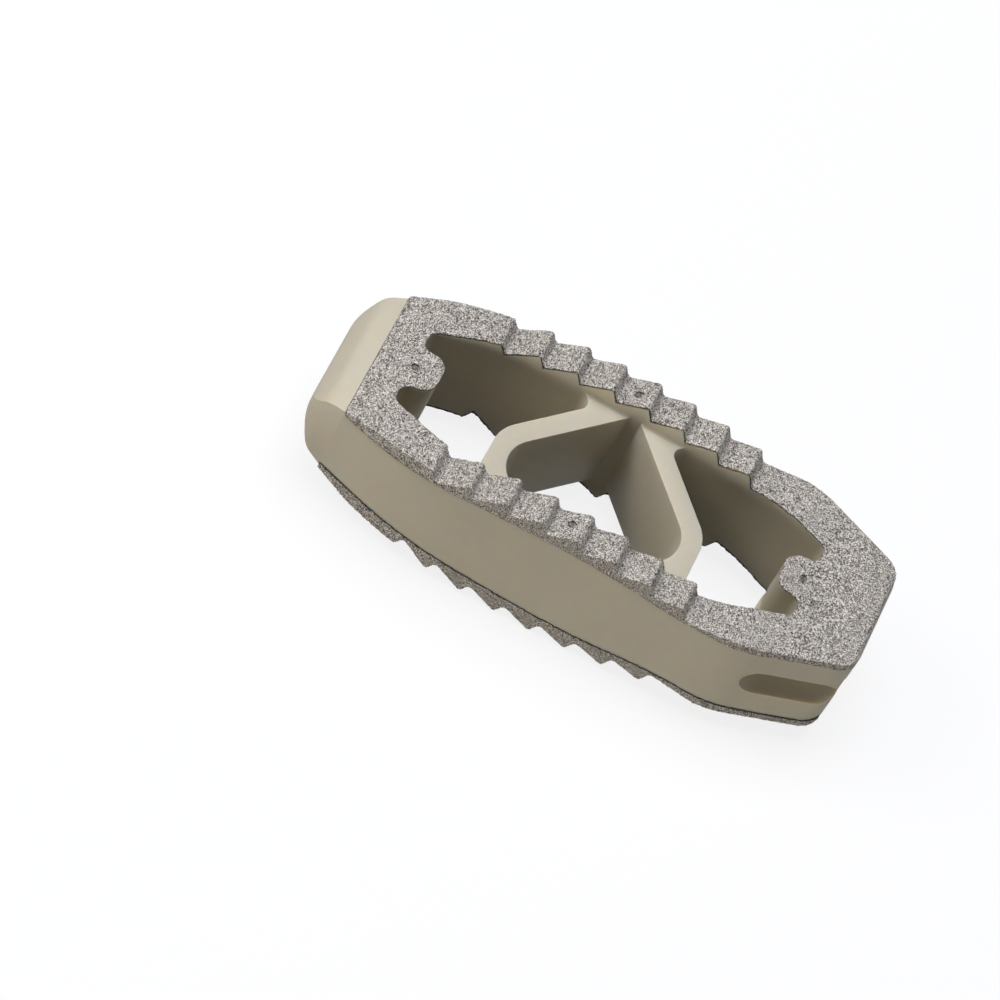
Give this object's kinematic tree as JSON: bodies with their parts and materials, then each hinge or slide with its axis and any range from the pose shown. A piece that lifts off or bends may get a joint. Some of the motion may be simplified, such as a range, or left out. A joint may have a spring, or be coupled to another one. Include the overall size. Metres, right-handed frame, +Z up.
{
  "type": "lateral interbody fusion cage",
  "caption": "Bullet-nosed lateral interbody fusion cage in beige PEEK with toothed, titanium-sprayed endplates, V struts in the graft window and marker pins.",
  "frame": {"origin": "centre of the footprint, level with the lowest tooth crests", "axes": "+X from the bullet nose to the inserter end, +Y towards the rail where the two struts meet, +Z up through the graft window"},
  "size_m": [0.0488, 0.018, 0.014],
  "materials": {
    "peek": "satin machined PEEK, slightly translucent",
    "titanium_spray": "rough plasma-sprayed titanium grain, no gloss",
    "tantalum": "dull tantalum, cut ends"
  },
  "bodies": {
    "root": {"cage_body": "peek", "upper_coating": "titanium_spray", "lower_coating": "titanium_spray", "nose_marker_pin": "tantalum", "near_rail_marker_pin": "tantalum", "far_rail_marker_pin": "tantalum", "tail_marker_pin_upper": "tantalum", "tail_marker_pin_lower": "tantalum"}
  },
  "joints": []
}
